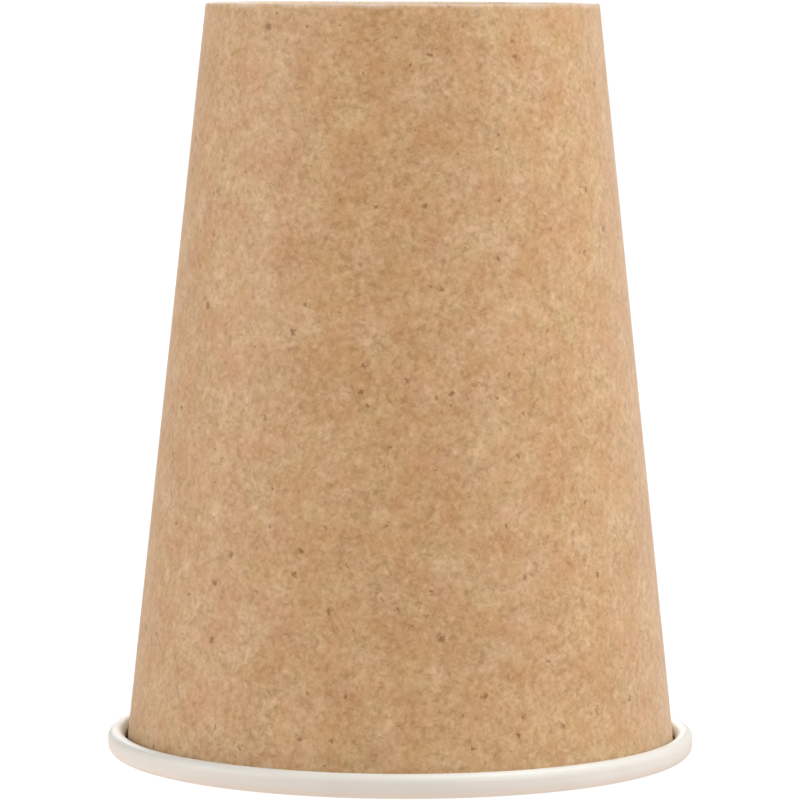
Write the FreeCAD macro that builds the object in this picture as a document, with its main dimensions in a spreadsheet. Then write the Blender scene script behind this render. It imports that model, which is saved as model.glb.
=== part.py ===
"""A paper coffee cup, modelled upside down the way it stands: rolled rim on the ground, base at the top.

Millimetres, +Z up, the cup's axis on Z, the ground at z = 0, the side seam at the back (+Y).
The cup is two pieces of board. The side wall is one strip: its narrow end is folded over the skirt of
the base disc, its wide end is rolled outwards into the rim, and its two straight edges overlap in a
glued seam. Each piece is drawn as one line, the line is thickened to the board, and the section is
turned about the axis.
"""
import FreeCAD
import Part
import math
import os
import Sketcher
from FreeCAD import Placement, Rotation, Vector

SIZES = [
    ("rim_diameter", 90.0, "across the outside of the rolled rim"),
    ("base_diameter", 60.0, "across the outside of the folded base edge"),
    ("height", 115.0, "rim on the ground to the folded base edge"),
    ("board", 0.36, "thickness of the side wall's board"),
    ("base_board", 0.30, "thickness of the base disc's board"),
    ("roll_radius", 1.63, "outside of the roll where it meets the ground"),
    ("bead_height", 3.7, "height of the roll above the ground"),
    ("roll_gap", 0.38, "between the roll's end and the wall, room for the seam's second layer"),
    ("tuck", 0.40, "straight end of the strip, turned in behind the roll"),
    ("fold_radius", 0.05, "inside of the fold at the base edge"),
    ("hem", 6.5, "length of the wall's folded end"),
    ("recess_depth", 7.6, "base edge down to the outer face of the base disc"),
    ("skirt", 6.0, "straight part of the base disc's flange"),
    ("skirt_bend", 0.5, "inside of the bend between disc and flange"),
    ("seal_gap", 0.02, "left on each side of the flange inside the fold"),
    ("seam_width", 7.0, "overlap of the strip's two straight edges"),
    ("seam_ramp", 7.0, "degrees over which the upper edge climbs onto the lower one"),
]
SIZE = {name: value for name, value, note in SIZES}

SECTION_PLANE = Placement(Vector(0, 0, 0), Rotation(Vector(1, 1, 1), 120))

# How a sketch numbers the points of an edge, its own two axes and the first edge from outside it
START, END, CENTRE = range(1, 4)
GROUND_AXIS, UP_AXIS, FIRST_EXTERNAL = range(-1, -4, -1)
ORIGIN = (GROUND_AXIS, START)

document = FreeCAD.newDocument("paper_cup")
sheet = document.addObject("Spreadsheet::Sheet", "Sizes")
for row, (name, value, note) in enumerate(SIZES, 1):
    sheet.set("A%d" % row, name)
    sheet.set("B%d" % row, str(value))
    sheet.set("C%d" % row, note)
    sheet.setAlias("B%d" % row, name)
document.recompute()


def add(kind, name, properties=None, expressions=None):
    """Add a document object, set its properties and tie some of them to the sheet."""
    item = document.addObject(kind, name)
    for key, value in (properties or {}).items():
        setattr(item, key, value)
    for key, expression in (expressions or {}).items():
        item.setExpression(key, expression)
    document.recompute()
    return item


def line(sketch, start, end):
    return sketch.addGeometry(Part.LineSegment(Vector(*start, 0), Vector(*end, 0)))


def arc(sketch, centre, radius, first, last):
    circle = Part.Circle(Vector(*centre, 0), Vector(0, 0, 1), radius)
    return sketch.addGeometry(Part.ArcOfCircle(circle, first, last))


def tie(sketch, name, expression, value, kind, *places):
    """Add a named dimension and tie it to the sheet; value is only where the solver starts."""
    sketch.addConstraint(Sketcher.Constraint(kind, *places, value))
    sketch.renameConstraint(sketch.ConstraintCount - 1, name)
    sketch.setExpression("Constraints." + name, expression)


def relate(sketch, kind, *places):
    sketch.addConstraint(Sketcher.Constraint(kind, *places))


def draw_wall_line():
    """The liner face of the side wall, from the cut end inside the hem to the cut end inside the roll."""
    rim = SIZE["rim_diameter"] / 2
    roll = SIZE["roll_radius"]
    top = SIZE["height"] - SIZE["board"]
    fold = SIZE["fold_radius"]
    outer = SIZE["base_diameter"] / 2 - SIZE["board"]
    inner = outer - SIZE["base_board"] - 2 * SIZE["seal_gap"]
    foot = rim - 2 * roll
    lean = math.atan((foot - outer) / top)
    slope = math.tan(lean)
    closing = (2 * roll - SIZE["roll_gap"] - SIZE["board"]) / 2
    closing_height = SIZE["bead_height"] - closing
    tuck_side = rim - 2 * closing

    sketch = add("Sketcher::SketchObject", "wall_line", {"Placement": SECTION_PLANE})
    hem = line(sketch, (inner + slope * SIZE["hem"], top - SIZE["hem"]), (inner, top - fold))
    inner_fold = arc(sketch, (inner + fold, top - fold), fold, math.pi / 2, math.pi)
    edge = line(sketch, (inner + fold, top), (outer - fold, top))
    outer_fold = arc(sketch, (outer - fold, top - fold), fold, lean, math.pi / 2)
    wall = line(sketch, (outer, top - fold), (foot, roll))
    roll_foot = arc(sketch, (rim - roll, roll), roll, math.pi + lean, 2 * math.pi)
    roll_side = line(sketch, (rim, roll), (rim, closing_height))
    roll_top = arc(sketch, (rim - closing, closing_height), closing, 0, math.pi + lean)
    tuck_end = (tuck_side + slope * SIZE["tuck"], closing_height - SIZE["tuck"])
    tuck = line(sketch, (tuck_side, closing_height), tuck_end)
    crest = sketch.addGeometry(Part.Point(Vector(rim - closing, SIZE["bead_height"], 0)), True)

    relate(sketch, "Tangent", hem, END, inner_fold, END)
    relate(sketch, "Tangent", inner_fold, START, edge, START)
    relate(sketch, "Tangent", edge, END, outer_fold, END)
    relate(sketch, "Tangent", outer_fold, START, wall, START)
    relate(sketch, "Tangent", wall, END, roll_foot, START)
    relate(sketch, "Tangent", roll_foot, END, roll_side, START)
    relate(sketch, "Tangent", roll_side, END, roll_top, START)
    relate(sketch, "Tangent", roll_top, END, tuck, START)
    relate(sketch, "Horizontal", edge)
    relate(sketch, "Vertical", roll_side)
    relate(sketch, "Parallel", hem, wall)
    relate(sketch, "Parallel", tuck, wall)
    relate(sketch, "Equal", inner_fold, outer_fold)
    relate(sketch, "Tangent", roll_foot, GROUND_AXIS)
    relate(sketch, "PointOnObject", crest, START, roll_top)
    relate(sketch, "Vertical", crest, START, roll_top, CENTRE)

    tie(sketch, "fold", "Sizes.fold_radius", fold, "Radius", inner_fold)
    tie(sketch, "roll", "Sizes.roll_radius", roll, "Radius", roll_foot)
    tie(sketch, "rim", "Sizes.rim_diameter / 2", rim, "DistanceX", *ORIGIN, roll_side, START)
    tie(sketch, "bead", "Sizes.bead_height", SIZE["bead_height"], "DistanceY", *ORIGIN, crest, START)
    tie(sketch, "top", "Sizes.height - Sizes.board", top, "DistanceY", *ORIGIN, edge, START)
    tie(sketch, "base", "Sizes.base_diameter / 2 - Sizes.board", outer, "DistanceX", *ORIGIN, wall, START)
    tie(sketch, "slot", "Sizes.base_board + 2 * Sizes.seal_gap", outer - inner, "Distance", wall, START, hem)
    tie(sketch, "hem", "Sizes.hem", SIZE["hem"], "Distance", hem, START, hem, END)
    tie(sketch, "gap", "Sizes.board + Sizes.roll_gap", SIZE["board"] + SIZE["roll_gap"],
        "Distance", tuck, START, wall)
    tie(sketch, "tuck", "Sizes.tuck", SIZE["tuck"], "Distance", tuck, START, tuck, END)
    return sketch, wall


def draw_disc_line(wall_line, wall_edge):
    """The coated face of the base disc, from the axis to the flange's end, against the wall's liner."""
    bend = SIZE["skirt_bend"] + SIZE["base_board"]
    floor = SIZE["height"] - SIZE["recess_depth"] - SIZE["base_board"]
    foot = wall_line.Geometry[wall_edge].StartPoint
    far = wall_line.Geometry[wall_edge].EndPoint
    lean = math.atan((far.x - foot.x) / (foot.y - far.y))
    side = foot.x + (foot.y - floor - bend) * math.tan(lean) - SIZE["seal_gap"]
    end = (side - math.tan(lean) * SIZE["skirt"], floor + bend + SIZE["skirt"])

    sketch = add("Sketcher::SketchObject", "disc_line", {"Placement": SECTION_PLANE})
    sketch.addExternal(wall_line.Name, "Edge%d" % (wall_edge + 1))
    disc = line(sketch, (0, floor), (side - bend, floor))
    corner = arc(sketch, (side - bend, floor + bend), bend, -math.pi / 2, lean)
    skirt = line(sketch, (side, floor + bend), end)

    relate(sketch, "Tangent", disc, END, corner, START)
    relate(sketch, "Tangent", corner, END, skirt, START)
    relate(sketch, "Horizontal", disc)
    relate(sketch, "PointOnObject", disc, START, UP_AXIS)
    relate(sketch, "Parallel", skirt, FIRST_EXTERNAL)

    tie(sketch, "bend", "Sizes.skirt_bend + Sizes.base_board", bend, "Radius", corner)
    tie(sketch, "floor", "Sizes.height - Sizes.recess_depth - Sizes.base_board", floor,
        "DistanceY", *ORIGIN, disc, START)
    tie(sketch, "seal", "Sizes.seal_gap", SIZE["seal_gap"], "Distance", skirt, START, FIRST_EXTERNAL)
    tie(sketch, "skirt", "Sizes.skirt", SIZE["skirt"], "Distance", skirt, START, skirt, END)
    return sketch


def thicken(name, source, thickness, fill=True):
    """Give a drawn line the board's thickness, on the side away from the drink."""
    return add("Part::Offset2D", name, {"Source": source, "Mode": "Skin", "Join": "Arc", "Fill": fill},
               {"Value": thickness})


def turn(name, section, angle):
    """Turn a section about the cup's axis, from the back seam towards -X."""
    return add("Part::Revolution", name, {"Source": section, "Axis": Vector(0, 0, 1)}, {"Angle": angle})


def build_side_wall(wall_line):
    """One strip round the cup, whose last end climbs onto its first one and is glued there.

    The press that folds the hem leaves the base edge flat all round, so the lap doesn't stand above it.
    """
    lower_layer = thicken("lower_layer", wall_line, "-Sizes.board")
    kraft_line = thicken("kraft_line", wall_line, "-Sizes.board", fill=False)
    upper_layer = thicken("upper_layer", kraft_line, "-Sizes.board")
    ring = turn("ring", lower_layer, "360 deg - Sizes.seam_ramp * 1 deg")

    ring_end = thicken("ring_end", wall_line, "-Sizes.board")
    ring_end.Placement = Placement(Vector(0, 0, 0), Rotation(Vector(0, 0, -1), SIZE["seam_ramp"]))
    ring_end.setExpression("Placement.Rotation.Angle", "Sizes.seam_ramp * 1 deg")
    ramp = add("Part::Loft", "ramp", {"Sections": [ring_end, upper_layer], "Solid": True, "Ruled": True})

    overlap = turn("overlap", upper_layer, "2 * asin(Sizes.seam_width / (Sizes.base_diameter / 2))")
    seam_strip = add("Part::Box", "seam_strip", None, {
        "Length": "Sizes.seam_width",
        "Width": "Sizes.rim_diameter / 2",
        "Height": "Sizes.height + 2 * Sizes.board",
        "Placement.Base.x": "-Sizes.seam_width",
    })
    flap = add("Part::Common", "flap", {"Base": overlap, "Tool": seam_strip})
    strip = add("Part::MultiFuse", "strip", {"Shapes": [ring, ramp, flap]})

    press = add("Part::Cylinder", "press", None, {"Radius": "Sizes.rim_diameter", "Height": "Sizes.height"})
    return add("Part::Common", "sidewall", {"Base": strip, "Tool": press})


def build_base_disc(disc_line):
    """A round of board with its edge drawn into a flange, held between the wall and its hem."""
    section = thicken("disc_section", disc_line, "-Sizes.base_board")
    return turn("base_disc", section, "360 deg")


def check(sub_parts):
    document.recompute()
    for item in document.Objects:
        if "Invalid" in item.State or "Error" in item.State:
            raise RuntimeError("%s did not build: %s" % (item.Label, item.State))
        if item.isDerivedFrom("Sketcher::SketchObject") and not item.FullyConstrained:
            raise RuntimeError("%s is not fully constrained" % item.Label)
    for part in sub_parts:
        if part.Shape.isNull() or not part.Shape.isValid() or len(part.Shape.Solids) != 1:
            raise RuntimeError("%s is not one sound solid" % part.Label)


def export(sub_parts):
    os.makedirs("parts", exist_ok=True)
    for part in sub_parts:
        part.Shape.exportStep("parts/%s.step" % part.Label)
        print("%s: %.1f mm3, %s" % (part.Label, part.Shape.Volume, part.Shape.BoundBox))


wall_line, wall_edge = draw_wall_line()
disc_line = draw_disc_line(wall_line, wall_edge)
sub_parts = [build_side_wall(wall_line), build_base_disc(disc_line)]
check(sub_parts)
export(sub_parts)
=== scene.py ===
"""A kraft paper coffee cup, upside down on its rolled rim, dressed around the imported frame.

Everything is in metres in the part's own frame: +Z up, the axis on Z, the ground at z = 0, the side
seam at the back (+Y). The side wall is one sheet worked out as a grid over its turn about the axis and
its length in section; the base disc is another. Both carry the kraft and white finishes as materials.
"""
import bpy
import math
import numpy as np
from mathutils import Matrix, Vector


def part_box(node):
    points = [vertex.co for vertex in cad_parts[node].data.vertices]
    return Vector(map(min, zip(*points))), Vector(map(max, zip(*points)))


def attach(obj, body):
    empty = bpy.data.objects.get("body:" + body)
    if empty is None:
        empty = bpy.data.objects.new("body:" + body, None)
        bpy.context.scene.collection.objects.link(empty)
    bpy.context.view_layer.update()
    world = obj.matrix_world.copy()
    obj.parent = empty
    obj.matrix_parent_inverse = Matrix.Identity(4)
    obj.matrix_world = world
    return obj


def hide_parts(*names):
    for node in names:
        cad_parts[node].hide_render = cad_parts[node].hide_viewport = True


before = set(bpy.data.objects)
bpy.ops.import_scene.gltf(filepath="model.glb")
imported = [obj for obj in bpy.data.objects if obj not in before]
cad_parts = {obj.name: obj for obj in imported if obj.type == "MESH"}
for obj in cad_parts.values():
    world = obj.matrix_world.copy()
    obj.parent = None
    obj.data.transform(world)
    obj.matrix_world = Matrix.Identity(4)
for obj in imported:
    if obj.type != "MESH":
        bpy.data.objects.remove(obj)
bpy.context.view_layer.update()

MM = 0.001

# Sizes of the cup in millimetres, the same as the solids it replaces
RIM_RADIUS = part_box("sidewall")[1][1] / MM
BOARD = 0.36
BASE_BOARD = 0.30
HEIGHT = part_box("sidewall")[1][2] / MM
BASE_RADIUS = 30.0
ROLL_RADIUS = 1.63
BEAD_HEIGHT = 3.7
ROLL_GAP = 0.38
TUCK = 0.40
FOLD_RADIUS = 0.05
HEM = 6.5
RECESS_DEPTH = 7.6
SKIRT = 6.0
SKIRT_BEND = 0.5
SEAL_GAP = 0.02
SEAM_WIDTH = 7.0
SEAM_RAMP = math.radians(7)

# Marks that the forming tools leave in the board
KNURLS = 96
KNURL_DEPTH = 0.12
KNURL_FADE = 0.8
KNURLS_FROM_CUT = 0.6
KNURLS_TO_FOLD = 0.4
CRIMPS = 120
CRIMP_DEPTH = 0.035
CRIMP_GATHERS = 7
CRIMPS_BEFORE_BEND = 2.2
CRIMP_RISE = 2.0
CRIMPS_PAST_BEND = 2.4
CRIMP_FALL = 1.5
GLUE_LINE = 0.01
PRESS_REACH = 1.6
PRESS_EDGE = 0.35

# Points along each stretch of the two sections, and columns round the turn
HEM_POINTS = 9
PRESS_POINTS = 5
FOLD_POINTS = 5
FLAT_POINTS = 3
WALL_POINTS = 14
ROLL_POINTS = 19
DISC_POINTS = 22
BEND_POINTS = 11
SKIRT_POINTS = 5
COLUMNS_PER_MARK = 6
LAP_COLUMNS = 8

# Where a surface turns by more than this within one edge, it is drawn sharp
SHARP_TURN = math.radians(40)

# The camera that was fitted to the photograph's outline
CAMERA_DISTANCE = 730.0
CAMERA_HEIGHT = 120.6
CAMERA_PITCH = 0.0906
CAMERA_ROLL = 0.0033
FOCAL_PIXELS = 4779.0
PHOTO_SIZE = 800
SENSOR = 36.0
AXIS_PIXEL = 401.4

# Softboxes: name, place in metres, width in metres, power in watts
SOFTBOXES = (
    ("left_softbox", (-1.20, -0.20, 0.50), 1.0, 9.0),
    ("right_softbox", (1.16, -0.20, 0.60), 1.0, 2.4),
    ("front_right_softbox", (0.90, -0.90, 0.60), 0.9, 6.1),
    ("top_softbox", (0.45, 0.10, 1.20), 0.8, 9.8),
    ("back_softbox", (-0.20, 1.40, 0.60), 0.8, 6.5),
)

# The studio's air: its colour from below and from above, and the height of a ray over which one fades
# into the other on each side of the horizon
AIR_BELOW = "#EFDACF"
AIR_ABOVE = "#797979"
HORIZON_FADE = 0.2

# The sweep in metres: its dome's radius, the rings of its flat floor, and its divisions
SWEEP_RADIUS = 6.0
FLOOR_RINGS = (0.5, 2.0)
DOME_STEPS = 16
SWEEP_SIDES = 64

# Pulp of the kraft board, in millimetres on the flat sheet: clouds, matted strands, patches of hue, and
# the noise that tears the outline of its bark specks, with how far it moves them
CLOUD_SIZE = 9
STRAND_LENGTH = 2.4
STRAND_WIDTH = 0.9
HUE_PATCH = 6
TEAR_SIZE = 0.7
TEAR_REACH = 1.1

# Bark specks: size of the largest in millimetres, spacing in millimetres, share of places that hold one
BARK_SPECKS = ((2.1, 18.0, 0.6), (1.35, 6.5, 0.5), (0.7, 2.8, 0.15))
SPECK_CORE = 0.1

# Fibres lie in several directions, given in radians. A fibre's cell is wider than the fibre, whose side
# is FIBRE_REACH of the cell from its middle and fades to nothing at FIBRE_FADE times that.
STRAND_WAYS = (0.0, 0.8, 1.57, 2.36)
PALE_WAYS = (0.5, 1.3, 2.1, 2.9)
DARK_WAYS = (0.1, 0.7, 1.6, 2.4, 3.0)
BOARD_WAYS = (0.3, 1.4, 2.5)
FIBRE_REACH = 0.21
FIBRE_FADE = 1.3

# Each direction's pattern is moved by so many millimetres per radian, so that no two line up
FIBRE_SHIFT = (17, 31, 0)
STRAND_SHIFT = (23, 41, 0)

# Crushed fibres at the fold, paler in colour, together with a painted highlight on the fold and a painted
# reflection of the bright surround on the far hem: middle of the band from the fold's own, towards the hem,
# in millimetres, how much the clouds vary it, where it begins and is full, and its strength
WEAR_HIGHLIGHT_OFFSET = 0.5
WEAR_HIGHLIGHT_PATCHES = 2.0
WEAR_HIGHLIGHT_ENDS = 2.0
WEAR_HIGHLIGHT_FULL = 0.95
WEAR_HIGHLIGHT_STRENGTH = 0.6

# Material slots of a sheet's mesh
LINER, KRAFT, EDGE = 0, 1, 2

# Sockets of a colour mix node, which holds some of each kind under one name
FACTOR, FIRST, SECOND = 0, 6, 7


def straight(start, end, count):
    """Points at equal steps from start to end, with the unit normal on the left of the way."""
    t = np.linspace(0, 1, count)[:, None]
    points = np.array(start) * (1 - t) + np.array(end) * t
    way = (np.array(end) - np.array(start)) / np.linalg.norm(np.array(end) - np.array(start))
    return points, np.tile([-way[1], way[0]], (count, 1))


def bend(centre, radius, first, last, count):
    """Points at equal angles on an arc, with the unit normal on the left of the way along it."""
    a = np.linspace(first, last, count)
    ray = np.stack([np.cos(a), np.sin(a)], 1)
    side = -1 if last > first else 1
    return np.array(centre) + radius * ray, side * ray


def joined(*stretches):
    """One line from stretches that meet, each shared point kept once: points, normals and length so far."""
    points = np.concatenate([stretches[0][0]] + [p[1:] for p, n in stretches[1:]])
    normals = np.concatenate([stretches[0][1]] + [n[1:] for p, n in stretches[1:]])
    steps = np.linalg.norm(np.diff(points, axis=0), axis=1)
    return points, normals, np.concatenate([[0], np.cumsum(steps)])


def wall_lean():
    """Angle of the wall to the axis: its liner line passes the fold and touches the roll's circle.

    The fold's share of the height depends on the angle itself, so a first guess is put back in a few
    times, after which it no longer changes.
    """
    foot = BASE_RADIUS - BOARD
    across = RIM_RADIUS - ROLL_RADIUS - foot
    lean = 0.1
    for _ in range(4):
        down = HEIGHT - BOARD - FOLD_RADIUS * (1 - math.sin(lean)) - ROLL_RADIUS
        lean = math.acos(ROLL_RADIUS / math.hypot(across, down)) - math.atan2(down, across)
    return lean


def wall_section(lean):
    """The strip's liner line, from the cut end inside the hem to the cut end inside the roll.

    Hem, fold, flat edge, fold, wall, roll foot, roll side, roll top and tuck follow each other, every
    one tangent to the next, as in the solid. Normals point to the kraft side. Also returns the length
    along the line at which the wall begins.
    """
    c, s = math.cos(lean), math.sin(lean)
    normal = np.array([c, s])
    down = np.array([s, -c])
    rise = np.array([0, FOLD_RADIUS])
    outer = np.array([BASE_RADIUS - BOARD - FOLD_RADIUS * c, HEIGHT - BOARD - FOLD_RADIUS])
    wall_top = outer + FOLD_RADIUS * normal
    slot = BASE_BOARD + 2 * SEAL_GAP
    hem_top = wall_top - slot * normal - math.tan(lean) * (slot - 2 * FOLD_RADIUS) * down
    inner = hem_top + FOLD_RADIUS * normal
    roll = np.array([RIM_RADIUS - ROLL_RADIUS, ROLL_RADIUS])
    wall_foot = roll - ROLL_RADIUS * normal
    reach = np.dot(np.array([RIM_RADIUS, BEAD_HEIGHT]) - wall_top, normal)
    closing = (reach - BOARD - ROLL_GAP) / (1 + normal.sum())
    crest = np.array([RIM_RADIUS - closing, BEAD_HEIGHT - closing])
    tuck = crest - closing * normal
    before_wall = joined(
        straight(hem_top + HEM * down, hem_top + PRESS_REACH * down, HEM_POINTS),
        straight(hem_top + PRESS_REACH * down, hem_top, PRESS_POINTS),
        bend(inner, FOLD_RADIUS, math.pi + lean, math.pi / 2, FOLD_POINTS),
        straight(inner + rise, outer + rise, FLAT_POINTS),
        bend(outer, FOLD_RADIUS, math.pi / 2, lean, FOLD_POINTS),
    )
    whole = joined(
        before_wall[:2],
        straight(wall_top, wall_top + PRESS_REACH * down, PRESS_POINTS),
        straight(wall_top + PRESS_REACH * down, wall_foot, WALL_POINTS),
        bend(roll, ROLL_RADIUS, math.pi + lean, 2 * math.pi, ROLL_POINTS),
        straight([RIM_RADIUS, ROLL_RADIUS], [RIM_RADIUS, crest[1]], FLAT_POINTS),
        bend(crest, closing, 0, math.pi + lean, ROLL_POINTS),
        straight(tuck, tuck + TUCK * down, FLAT_POINTS),
    )
    return (*whole, before_wall[2][-1])


def smooth(t):
    """Smooth step from 0 to 1: 3 t squared less 2 t cubed, held outside."""
    t = np.clip(t, 0, 1)
    return t * t * (3 - 2 * t)


def turned(radius, height, angle):
    """Points at a radius and height, turned from the back seam (+Y) towards -X by an angle."""
    return np.stack([-radius * np.sin(angle), radius * np.cos(angle), height + 0 * angle], -1)


def face(points, normals, depth, angle):
    """One face of a sheet: section(s) + depth * normal(s), turned by the angle."""
    radius = points[:, :1] + depth * normals[:, :1]
    height = points[:, 1:] + depth * normals[:, 1:]
    return turned(radius, height, angle)


def side_wall():
    """The strip closed round the cup, as one sheet of two faces.

    A point is section(s) + d * normal(s), turned by the angle a. The depth d is 0 on the liner face and
    BOARD on the kraft face, plus one more BOARD where the strip's end has climbed onto its beginning:
    a smooth step over the last SEAM_RAMP before a full turn. Past the full turn the end runs on for
    SEAM_WIDTH. The press that folds the hem squeezes the two layers of the seam to one board's
    thickness at the base edge, fading over PRESS_REACH on both sides of it. Knurls press the kraft face
    of the hem by half a cosine of the angle. Also returns how far out on the flat sheet the fold is.
    """
    lean = wall_lean()
    points, normals, length, wall_start = wall_section(lean)
    turn = np.linspace(0, 2 * math.pi, KNURLS * COLUMNS_PER_MARK + 1)
    lap = np.linspace(0, 1, LAP_COLUMNS + 1)[1:]
    past_turn = 2 * math.pi + lap[None, :] * (SEAM_WIDTH / points[:, :1])
    angle = np.concatenate([np.tile(turn, (len(points), 1)), past_turn], 1)
    from_fold = np.maximum(np.maximum(HEM - length, length - wall_start), 0)
    squeeze = 0.5 * (1 - smooth(from_fold / PRESS_REACH))[:, None]
    climb = smooth((angle - 2 * math.pi + SEAM_RAMP) / SEAM_RAMP)
    covered = 1 - smooth((angle * points[:, :1] - SEAM_WIDTH) / PRESS_EDGE)
    layer = (BOARD + GLUE_LINE) * climb * (1 - squeeze)
    past_cut = smooth((length - KNURLS_FROM_CUT) / KNURL_FADE)
    before_fold = smooth((HEM - KNURLS_TO_FOLD - length) / KNURL_FADE)
    in_hem = (past_cut * before_fold)[:, None]
    knurl = KNURL_DEPTH * in_hem * (0.5 + 0.5 * np.cos(KNURLS * angle))
    kraft_depth = layer + BOARD * (1 - squeeze * np.maximum(climb, covered)) - knurl
    liner = face(points, normals, layer, angle)
    kraft = face(points, normals, kraft_depth, angle)
    wall_row = np.searchsorted(length, wall_start)
    reach = points[wall_row][0] / math.sin(lean) + length - wall_start
    fan = angle * math.sin(lean)
    blank = np.stack([reach[:, None] * np.sin(fan), reach[:, None] * np.cos(fan)], -1)
    fold = reach[wall_row] - (wall_start - HEM) / 2
    return sheet("sidewall_board", liner, kraft, blank, closed=False), fold


def base_section(lean):
    """The base disc's coated face in section, from the axis to the flange's end, normals away from it."""
    c, s = math.cos(lean), math.sin(lean)
    points, _, length, wall_start = wall_section(lean)
    wall_top = points[np.searchsorted(length, wall_start)]
    radius = SKIRT_BEND + BASE_BOARD
    floor = HEIGHT - RECESS_DEPTH - BASE_BOARD
    centre_z = floor + radius
    side = (wall_top[0] - SEAL_GAP * c) + (wall_top[1] - SEAL_GAP * s - centre_z) * math.tan(lean)
    centre = np.array([side - radius / c, centre_z])
    skirt = centre + radius * np.array([c, s])
    return joined(
        straight([0, floor], [centre[0], floor], DISC_POINTS),
        bend(centre, radius, -math.pi / 2, lean, BEND_POINTS),
        straight(skirt, skirt + SKIRT * np.array([-s, c]), SKIRT_POINTS),
    )


def base_disc():
    """The base disc as one sheet of two faces, crimped where its edge is drawn up into the flange.

    A point is section(s) + d * normal(s), turned by the angle a; d is 0 or BASE_BOARD, plus crimps of a
    cosine of the angle that fade in over the outer 2 mm of the disc and out again past the bend. The
    crimps gather and spread a little round the disc, by a sine of CRIMP_GATHERS times the angle.
    """
    points, normals, length = base_section(wall_lean())
    turn = np.linspace(0, 2 * math.pi, CRIMPS * COLUMNS_PER_MARK, endpoint=False)
    angle = np.tile(turn, (len(length), 1))
    bend_at = length[-1] - SKIRT - 0.5 * math.pi * SKIRT_BEND
    on_disc = smooth((length - bend_at + CRIMPS_BEFORE_BEND) / CRIMP_RISE)
    on_flange = smooth((bend_at + CRIMPS_PAST_BEND - length) / CRIMP_FALL)
    near_bend = (on_disc * on_flange)[:, None]
    crimp = CRIMP_DEPTH * near_bend * np.cos(CRIMPS * angle + np.sin(CRIMP_GATHERS * angle))
    coated = face(points, normals, crimp, angle)
    plain = face(points, normals, BASE_BOARD + crimp, angle)
    blank = np.stack([length[:, None] * np.sin(angle), length[:, None] * np.cos(angle)], -1)
    return sheet("base_disc_board", coated, plain, blank, closed=True)


def sheet(name, liner, kraft, blank, closed):
    """A closed mesh from the two faces of a sheet, each a grid of points in millimetres.

    Rows follow the section and columns the turn. Every cell becomes a face on both sides, and a band
    joins the two along each free edge. A closed sheet wraps its last column to its first, and its first
    row is one point on the axis. blank is each point's place in millimetres on the flat sheet.
    """
    rows, columns = blank.shape[:2]
    near = np.arange(rows * columns).reshape(rows, columns)
    if closed:
        near[0] = 0
    far = near + rows * columns
    i = np.arange(columns if closed else columns - 1)
    j = (i + 1) % columns

    def cells(*corners):
        return np.stack([c.ravel() for c in corners], 1)

    groups = [
        (LINER, cells(near[:-1, i], near[:-1, j], near[1:, j], near[1:, i])),
        (KRAFT, cells(far[:-1, i], far[1:, i], far[1:, j], far[:-1, j])),
        (EDGE, cells(near[-1:, i], near[-1:, j], far[-1:, j], far[-1:, i])),
    ]
    if not closed:
        groups += [
            (EDGE, cells(near[:1, i], far[:1, i], far[:1, j], near[:1, j])),
            (EDGE, cells(near[:-1, :1], near[1:, :1], far[1:, :1], far[:-1, :1])),
            (EDGE, cells(near[:-1, -1:], far[:-1, -1:], far[1:, -1:], near[1:, -1:])),
        ]
    places = np.concatenate([liner.reshape(-1, 3), kraft.reshape(-1, 3)]) * MM
    flat = np.tile(blank.reshape(-1, 2), (2, 1))
    corners = np.concatenate([quads for kind, quads in groups])
    kinds = np.concatenate([np.full(len(quads), kind) for kind, quads in groups])
    used, corners = np.unique(corners, return_inverse=True)
    corners = corners.reshape(-1, 4)
    polygons = [list(dict.fromkeys(quad)) for quad in corners.tolist()]

    mesh = bpy.data.meshes.new(name)
    mesh.from_pydata(places[used], [], polygons)
    mesh.polygons.foreach_set("material_index", kinds)
    mesh.shade_smooth()
    mesh.set_sharp_from_angle(angle=SHARP_TURN)
    vertex = np.empty(len(mesh.loops), dtype=np.int32)
    mesh.loops.foreach_get("vertex_index", vertex)
    mesh.uv_layers.new(name="blank").data.foreach_set("uv", flat[used][vertex].ravel())
    mesh.validate()
    piece = bpy.data.objects.new(name, mesh)
    bpy.context.scene.collection.objects.link(piece)
    return piece


def linear(code):
    """An sRGB hex colour as linear RGBA."""
    v = np.array([int(code[i:i + 2], 16) for i in (1, 3, 5)]) / 255
    return (*np.where(v <= 0.04045, v / 12.92, ((v + 0.055) / 1.055) ** 2.4).tolist(), 1.0)


def node(tree, kind, inputs=None, **settings):
    """Add a shader node with its settings and links.

    An input is a value, a node's output, or a node, which stands for its first output in use.
    """
    made = tree.nodes.new(kind)
    for key, value in settings.items():
        setattr(made, key, value)
    for key, value in (inputs or {}).items():
        if isinstance(value, bpy.types.Node):
            value = next(output for output in value.outputs if output.enabled)
        if isinstance(value, bpy.types.NodeSocket):
            tree.links.new(value, made.inputs[key])
        else:
            made.inputs[key].default_value = value
    return made


def material(name):
    """A new material and its empty node tree."""
    made = bpy.data.materials.new(name)
    made.use_nodes = True
    made.node_tree.nodes.clear()
    return made, made.node_tree


def finish_material(tree, inputs, height, relief):
    """Principled shader with a relief of a real depth in millimetres, linked to the output."""
    bump = node(tree, "ShaderNodeBump", {"Height": height, "Distance": relief * MM, "Strength": 1.0})
    shader = node(tree, "ShaderNodeBsdfPrincipled", {"Normal": bump, **inputs})
    node(tree, "ShaderNodeOutputMaterial", {"Surface": shader})


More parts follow.
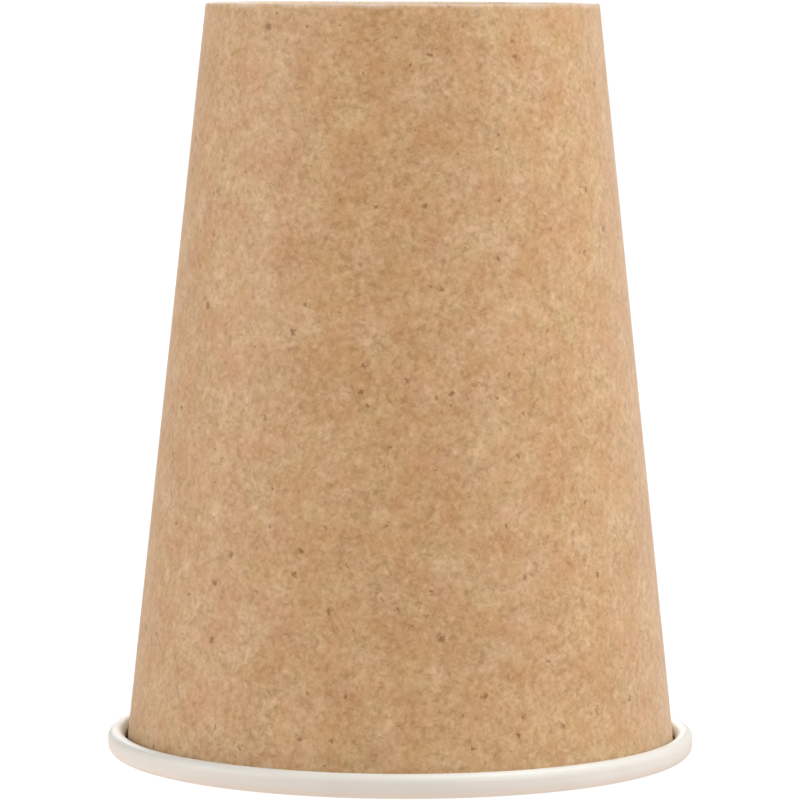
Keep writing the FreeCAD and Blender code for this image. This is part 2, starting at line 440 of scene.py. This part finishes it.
def fibres(tree, place, ways, length, width, share):
    """Short straight fibres in several directions, each of its own strength.

    For each direction the sheet is divided into long narrow cells. The distance from a cell's middle
    makes the fibre, and the cell's own chance number gives its strength, down to nothing past the share.
    """
    laid = 0.0
    for way in ways:
        turned_place = node(tree, "ShaderNodeMapping", {
            "Vector": place,
            "Rotation": (0, 0, way),
            "Location": tuple(way * step for step in FIBRE_SHIFT),
            "Scale": (length / (2 * FIBRE_REACH), width / (2 * FIBRE_REACH), 1),
        }, vector_type="TEXTURE")
        cells = node(tree, "ShaderNodeTexVoronoi", {"Vector": turned_place, "Scale": 1},
                     voronoi_dimensions="2D")
        dash = node(tree, "ShaderNodeMapRange", {
            "Value": cells.outputs["Distance"], "From Min": FIBRE_FADE * FIBRE_REACH, "From Max": 0.0,
        }, interpolation_type="SMOOTHSTEP")
        chance = node(tree, "ShaderNodeSeparateColor", {"Color": cells.outputs["Color"]})
        strength = node(tree, "ShaderNodeMapRange", {"Value": chance, "From Min": share, "From Max": 0.0})
        fibre = node(tree, "ShaderNodeMath", {0: dash, 1: strength}, operation="MULTIPLY")
        laid = node(tree, "ShaderNodeMath", {0: laid, 1: fibre}, operation="MAXIMUM")
    return laid


def specks(tree, place, size, spacing, share):
    """Dark soft-edged bits about a spacing apart, up to a size across, in a share of their cells.

    A cell's own chance number gives its speck's radius. The speck is full out to SPECK_CORE of it and
    fades to nothing at its edge.
    """
    cells = node(tree, "ShaderNodeTexVoronoi", {"Vector": place, "Scale": 1 / spacing},
                 voronoi_dimensions="2D")
    chance = node(tree, "ShaderNodeSeparateColor", {"Color": cells.outputs["Color"]})
    radius = node(tree, "ShaderNodeMapRange", {
        "Value": chance, "From Min": share, "From Max": 0.0, "To Min": 0.0, "To Max": size / 2 / spacing,
    })
    core = node(tree, "ShaderNodeMath", {0: radius, 1: SPECK_CORE}, operation="MULTIPLY")
    return node(tree, "ShaderNodeMapRange", {
        "Value": cells.outputs["Distance"], "From Min": radius, "From Max": core,
    }, interpolation_type="SMOOTHSTEP")


def felt(tree, place, ways, length, width):
    """Matted strands: noise drawn out in several directions, added up and divided by their number."""
    laid = 0.0
    for way in ways:
        drawn = node(tree, "ShaderNodeMapping", {
            "Vector": place,
            "Rotation": (0, 0, way),
            "Location": tuple(way * step for step in STRAND_SHIFT),
            "Scale": (length, width, 1),
        }, vector_type="TEXTURE")
        strands = node(tree, "ShaderNodeTexNoise", {
            "Vector": drawn, "Scale": 1, "Detail": 2.0, "Roughness": 0.75,
        }, noise_dimensions="2D")
        laid = node(tree, "ShaderNodeMath", {0: strands, 1: 1 / len(ways), 2: laid},
                    operation="MULTIPLY_ADD")
    return laid


def kraft_paper(fold):
    """Unbleached kraft board, uncoated: brown pulp laid wet on a wire and pressed smooth.

    Clouds of pulp 9 mm across and strands matted every way at 1 to 2 mm make the sheet paler or darker.
    In patches 6 mm across the pulp was cooked longer and is darker and browner, and drifts a little
    between pinkish and yellowish. On it lie bundles of fibre a millimetre long, darker or paler than
    the sheet, and specks of bark with torn outlines. Where the base edge is folded, fold millimetres out
    on the flat sheet, a band just on the hem's side of the fold is made paler, as patchy as the clouds:
    partly the crushed fibres' own paler colour, partly a painted highlight on the fold and a painted
    reflection of the bright surround on the far hem.
    """
    made, tree = material("kraft_paper_uncoated")
    blank = node(tree, "ShaderNodeUVMap", uv_map="blank")
    clouds = node(tree, "ShaderNodeTexNoise", {
        "Vector": blank, "Scale": 1 / CLOUD_SIZE, "Detail": 3.0, "Roughness": 0.85,
    }, noise_dimensions="2D")
    strands = felt(tree, blank, STRAND_WAYS, STRAND_LENGTH, STRAND_WIDTH)
    strand_weight, darkest, palest = 3.5, 1.72, 2.78
    pulp = node(tree, "ShaderNodeMath", {0: strands, 1: strand_weight, 2: clouds},
                operation="MULTIPLY_ADD")
    shade = node(tree, "ShaderNodeMapRange", {"Value": pulp, "From Min": darkest, "From Max": palest})
    colour = node(tree, "ShaderNodeMix", {
        FACTOR: shade, FIRST: linear("#BA9362"), SECOND: linear("#E6C599"),
    }, data_type="RGBA")

    hue = node(tree, "ShaderNodeTexNoise", {
        "Vector": blank, "Scale": 1 / HUE_PATCH, "Detail": 2.0, "Roughness": 0.6,
    }, noise_dimensions="2D")
    cooked = node(tree, "ShaderNodeMapRange", {
        "Value": hue, "From Min": 0.3, "From Max": 0.7, "To Max": 0.42,
    })
    colour = node(tree, "ShaderNodeMix", {FACTOR: cooked, FIRST: colour, SECOND: linear("#BE8B4E")},
                  data_type="RGBA")
    drift = 0.12
    colour = node(tree, "ShaderNodeMix", {FACTOR: drift, FIRST: colour, SECOND: hue.outputs["Color"]},
                  data_type="RGBA", blend_type="SOFT_LIGHT")

    pale = fibres(tree, blank, PALE_WAYS, length=1.0, width=0.42, share=0.5)
    dark = fibres(tree, blank, DARK_WAYS, length=1.35, width=0.5, share=0.3)
    ragged = node(tree, "ShaderNodeTexNoise", {"Vector": blank, "Scale": 1 / TEAR_SIZE, "Detail": 1.0},
                  noise_dimensions="2D")
    torn_place = node(tree, "ShaderNodeVectorMath", {
        0: ragged.outputs["Color"], 1: (TEAR_REACH, TEAR_REACH, 0.0), 2: blank,
    }, operation="MULTIPLY_ADD")
    bark = 0.0
    for size, spacing, share in BARK_SPECKS:
        bits = specks(tree, torn_place, size, spacing, share)
        bark = node(tree, "ShaderNodeMath", {0: bark, 1: bits}, operation="MAXIMUM")
    for cover, mark, tone in ((0.34, pale, "#E7CFA6"), (0.42, dark, "#9E6B38"), (0.8, bark, "#84571C")):
        amount = node(tree, "ShaderNodeMath", {0: mark, 1: cover}, operation="MULTIPLY")
        colour = node(tree, "ShaderNodeMix", {FACTOR: amount, FIRST: colour, SECOND: linear(tone)},
                      data_type="RGBA")

    # Paler band at the fold: partly crushed fibres, partly a painted highlight and a painted reflection of
    # the bright surround
    out = node(tree, "ShaderNodeVectorMath", {0: blank}, operation="LENGTH").outputs["Value"]
    past = node(tree, "ShaderNodeMath", {0: out, 1: fold - WEAR_HIGHLIGHT_OFFSET}, operation="SUBTRACT")
    away = node(tree, "ShaderNodeMath", {0: past}, operation="ABSOLUTE")
    patchy = node(tree, "ShaderNodeMath", {0: clouds, 1: WEAR_HIGHLIGHT_PATCHES, 2: away},
                  operation="MULTIPLY_ADD")
    worn_and_highlight = node(tree, "ShaderNodeMapRange", {
        "Value": patchy, "From Min": WEAR_HIGHLIGHT_ENDS, "From Max": WEAR_HIGHLIGHT_FULL, "To Max": WEAR_HIGHLIGHT_STRENGTH,
    })
    colour = node(tree, "ShaderNodeMix", {FACTOR: worn_and_highlight, FIRST: colour, SECOND: linear("#FBF2E8")},
                  data_type="RGBA")
    fibre_height = 0.25
    height = node(tree, "ShaderNodeMath", {0: pale, 1: fibre_height, 2: strands},
                  operation="MULTIPLY_ADD")
    finish_material(tree, {
        "Base Color": colour, "Roughness": 0.55, "IOR": 1.5, "Sheen Weight": 0.35, "Sheen Roughness": 0.5,
    }, height, relief=0.03)
    return made


def coated_white():
    """White board under a clear polyethylene film: smooth and satin, with the board's waves 5 mm long."""
    made, tree = material("white_board_film_coated")
    blank = node(tree, "ShaderNodeUVMap", uv_map="blank")
    waves = node(tree, "ShaderNodeTexNoise", {"Vector": blank, "Scale": 1 / 5, "Detail": 1.0},
                 noise_dimensions="2D")
    colour = node(tree, "ShaderNodeMix", {
        FACTOR: waves, FIRST: linear("#EBEAE2"), SECOND: linear("#F0F0EA"),
    }, data_type="RGBA")
    finish_material(tree, {"Base Color": colour, "Roughness": 0.42, "IOR": 1.5}, waves, relief=0.02)
    return made


def white_board():
    """Uncoated face of the bleached base board: white and matt, of clouds 3 mm across and fine fibres."""
    made, tree = material("white_board_uncoated")
    blank = node(tree, "ShaderNodeUVMap", uv_map="blank")
    pulp = node(tree, "ShaderNodeTexNoise", {
        "Vector": blank, "Scale": 1 / 3, "Detail": 4.0, "Roughness": 0.8,
    }, noise_dimensions="2D")
    shade = node(tree, "ShaderNodeMapRange", {"Value": pulp, "From Min": 0.3, "From Max": 0.7})
    colour = node(tree, "ShaderNodeMix", {
        FACTOR: shade, FIRST: linear("#E9E4DA"), SECOND: linear("#F4F1EA"),
    }, data_type="RGBA")
    pale = fibres(tree, blank, BOARD_WAYS, length=1.2, width=0.16, share=0.5)
    fibre_height = 0.3
    height = node(tree, "ShaderNodeMath", {0: pale, 1: fibre_height, 2: pulp}, operation="MULTIPLY_ADD")
    finish_material(tree, {"Base Color": colour, "Roughness": 0.75, "IOR": 1.45}, height, relief=0.02)
    return made


def cut_edge():
    """The board's die-cut edge: fibre ends torn at a quarter of a millimetre, pale and rough."""
    made, tree = material("board_cut_edge")
    place = node(tree, "ShaderNodeTexCoord").outputs["Object"]
    ends = node(tree, "ShaderNodeTexNoise", {"Vector": place, "Scale": 1 / (0.25 * MM), "Detail": 2.0})
    shade = node(tree, "ShaderNodeMapRange", {"Value": ends, "From Min": 0.35, "From Max": 0.65})
    colour = node(tree, "ShaderNodeMix", {
        FACTOR: shade, FIRST: linear("#C3A079"), SECOND: linear("#E2CDAE"),
    }, data_type="RGBA")
    finish_material(tree, {"Base Color": colour, "Roughness": 0.9, "IOR": 1.45}, ends, relief=0.02)
    return made


def dress(piece, node_name, finishes):
    """Stand a piece for its solid and give it its finishes."""
    for finish in finishes:
        piece.data.materials.append(finish)
    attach(piece, "root")
    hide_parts(node_name)


def studio_sweep():
    """A white paper sweep: a round floor that runs up into a dome, seen only by the camera.

    It shows plain white all round, as in the photograph, with little of its own shading, so that the
    cup's outline stays clean. Light passes it, so that what reaches the cup is the softboxes and the
    studio's air, which is warm from below and dimmer from above.
    """
    rise = np.linspace(0, math.pi / 2, DOME_STEPS + 1)[:-1]
    radius = np.concatenate([FLOOR_RINGS, SWEEP_RADIUS * np.cos(rise)])
    height = np.concatenate([np.zeros(len(FLOOR_RINGS)), SWEEP_RADIUS * np.sin(rise)])
    angle = np.linspace(0, 2 * math.pi, SWEEP_SIDES, endpoint=False)
    rings = turned(radius[:, None], height[:, None], angle[None, :]).reshape(-1, 3)
    places = np.concatenate([rings, [[0, 0, 0], [0, 0, SWEEP_RADIUS]]])
    middle, top = len(rings), len(rings) + 1
    i = np.arange(SWEEP_SIDES)
    j = (i + 1) % SWEEP_SIDES
    last = middle - SWEEP_SIDES
    polygons = np.stack([i, j, np.full(SWEEP_SIDES, middle)], 1).tolist()
    polygons += np.stack([last + j, last + i, np.full(SWEEP_SIDES, top)], 1).tolist()
    for ring in range(0, last, SWEEP_SIDES):
        above = ring + SWEEP_SIDES
        polygons += np.stack([ring + j, ring + i, above + i, above + j], 1).tolist()
    mesh = bpy.data.meshes.new("studio_sweep")
    mesh.from_pydata(places, [], polygons)
    sweep = bpy.data.objects.new("studio_sweep", mesh)
    bpy.context.scene.collection.objects.link(sweep)
    sweep.visible_diffuse = False
    sweep.visible_glossy = False
    sweep.visible_shadow = False
    made, tree = material("studio_paper_white")
    shader = node(tree, "ShaderNodeBsdfPrincipled", {
        "Base Color": linear("#404040"), "Roughness": 1.0, "Specular IOR Level": 0.0,
        "Emission Color": linear("#FFFFFF"), "Emission Strength": 1.0,
    })
    node(tree, "ShaderNodeOutputMaterial", {"Surface": shader})
    mesh.materials.append(made)


def aimed(place, target, up=(0.0, 0.0, 1.0)):
    """Rotation matrix whose -Z looks from place to target with Y as near up as can be."""
    forward = np.array(target, float) - np.array(place, float)
    forward /= np.linalg.norm(forward)
    right = np.cross(forward, up)
    right /= np.linalg.norm(right)
    return np.stack([right, np.cross(right, forward), -forward], 1)


def placed(turn, place):
    """A 4 by 4 matrix from a rotation and a place."""
    whole = np.eye(4)
    whole[:3, :3] = turn
    whole[:3, 3] = place
    return Matrix(whole.tolist())


def softbox(name, place, width, power):
    """A square white area light aimed at the cup's middle, not seen itself."""
    light = bpy.data.lights.new(name, "AREA")
    light.shape = "SQUARE"
    light.size = width
    light.energy = power
    lamp = bpy.data.objects.new(name, light)
    lamp.matrix_world = placed(aimed(place, (0, 0, HEIGHT / 2 * MM)), place)
    lamp.visible_camera = False
    bpy.context.scene.collection.objects.link(lamp)


def studio_light():
    """Softboxes round the cup and above it, and the studio's air: warm light off the table, dim above."""
    for name, place, width, power in SOFTBOXES:
        softbox(name, place, width, power)
    air = bpy.data.worlds.new("studio_air")
    bpy.context.scene.world = air
    air.use_nodes = True
    tree = air.node_tree
    tree.nodes.clear()
    way = node(tree, "ShaderNodeTexCoord").outputs["Generated"]
    up = node(tree, "ShaderNodeSeparateXYZ", {"Vector": way}).outputs["Z"]
    share = node(tree, "ShaderNodeMapRange", {
        "Value": up, "From Min": -HORIZON_FADE, "From Max": HORIZON_FADE,
    })
    colour = node(tree, "ShaderNodeMix", {
        FACTOR: share, FIRST: linear(AIR_BELOW), SECOND: linear(AIR_ABOVE),
    }, data_type="RGBA")
    glow = node(tree, "ShaderNodeBackground", {"Color": colour})
    node(tree, "ShaderNodeOutputWorld", {"Surface": glow})


def photo_camera():
    """The camera fitted to the photograph: its place, downward pitch, slight roll and long lens."""
    pitch, roll = CAMERA_PITCH, CAMERA_ROLL
    aside = (AXIS_PIXEL - PHOTO_SIZE / 2) / FOCAL_PIXELS
    forward = np.array([-aside, math.cos(pitch), -math.sin(pitch)])
    above = np.array([0, math.sin(pitch), math.cos(pitch)])
    up = math.cos(roll) * above - math.sin(roll) * np.array([1.0, 0, 0])
    place = np.array([0, -CAMERA_DISTANCE, CAMERA_HEIGHT]) * MM
    camera = bpy.data.cameras.new("photo_camera")
    camera.sensor_width = SENSOR
    camera.lens = FOCAL_PIXELS / PHOTO_SIZE * SENSOR
    view = bpy.data.objects.new("photo_camera", camera)
    view.matrix_world = placed(aimed(place, place + forward, up), place)
    bpy.context.scene.collection.objects.link(view)
    bpy.context.scene.camera = view


film = coated_white()
edge = cut_edge()
sidewall, fold = side_wall()
dress(sidewall, "sidewall", [film, kraft_paper(fold), edge])
dress(base_disc(), "base_disc", [film, white_board(), edge])
studio_sweep()
studio_light()
photo_camera()
bpy.context.scene.view_settings.view_transform = "Standard"
